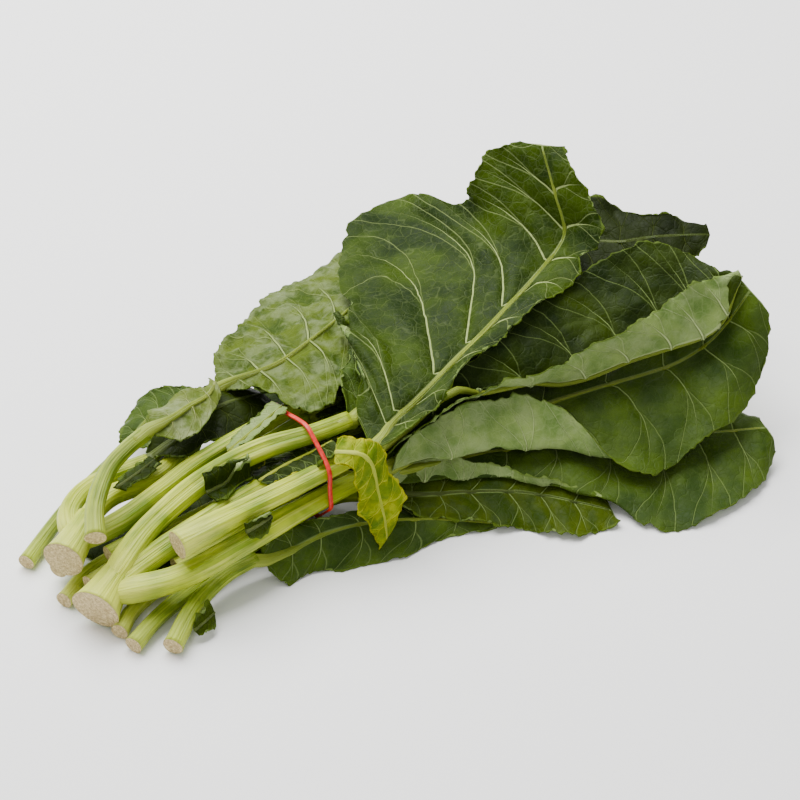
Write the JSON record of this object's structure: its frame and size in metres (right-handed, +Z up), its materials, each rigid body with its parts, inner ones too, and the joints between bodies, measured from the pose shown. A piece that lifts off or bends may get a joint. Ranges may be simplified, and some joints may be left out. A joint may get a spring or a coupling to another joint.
{
  "type": "bunch of kale",
  "caption": "Loose bunch of large flat-leaved kale lying on its side, leaf stems drawn together by a thin rubber band, blades fanned, folded and overlapping.",
  "frame": {"origin": "On the table, at the flat spot where the lowest leaf lies flat, 100 mm from the middle of the rubber band towards the leaf tips.", "axes": "+X runs along the bunch from the cut stem ends to the leaf tips, +Y to the bunch's left seen from the stem ends, +Z up from the table."},
  "size_m": [0.4307, 0.2868, 0.1321],
  "materials": {
    "leaf_dark": "fresh leaf, upper face, waxy satin",
    "leaf_pale": "fresh leaf, underside, silvery matt",
    "leaf_yellow": "wilted leaf, yellowed, satin",
    "stem": "fresh leaf stem, pale yellow-green, smooth and slightly waxy",
    "rubber": "red elastic band, satin"
  },
  "bodies": {
    "root": {"stem_far_left": "stem", "stem_flag": "stem", "stalk_a": "stem", "stem_low_a": "stem", "stem_low_b": "stem", "stem_low_c": "stem", "stem_mid_a": "stem", "stalk_b": "stem", "stem_centre": "stem", "stem_mid_b": "stem", "stem_low_d": "stem", "stem_low_e": "stem", "stem_low_f": "stem", "rubber_band": "rubber", "leaf_floor": "leaf_pale", "leaf_skirt": "leaf_dark", "leaf_low": "leaf_dark", "leaf_back_left": "leaf_dark", "leaf_outer": "leaf_dark", "leaf_inside": "leaf_dark", "leaf_core": "leaf_dark", "leaf_side": "leaf_dark", "leaf_far": "leaf_dark", "leaf_cup": "leaf_dark", "leaflet_strip": "leaf_dark", "leaf_far_left": "leaf_dark", "leaf_tucked": "leaf_dark", "leaf_between": "leaf_dark", "leaf_flag": "leaf_pale", "leaf_back": "leaf_pale", "leaf_behind": "leaf_dark", "leaf_centre": "leaf_dark", "leaf_wilted": "leaf_yellow", "leaflet_flap": "leaf_pale", "leaflet_small": "leaf_dark", "leaflet_side": "leaf_dark", "leaflet_table": "leaf_dark", "leaflet_curl": "leaf_yellow"}
  },
  "joints": []
}
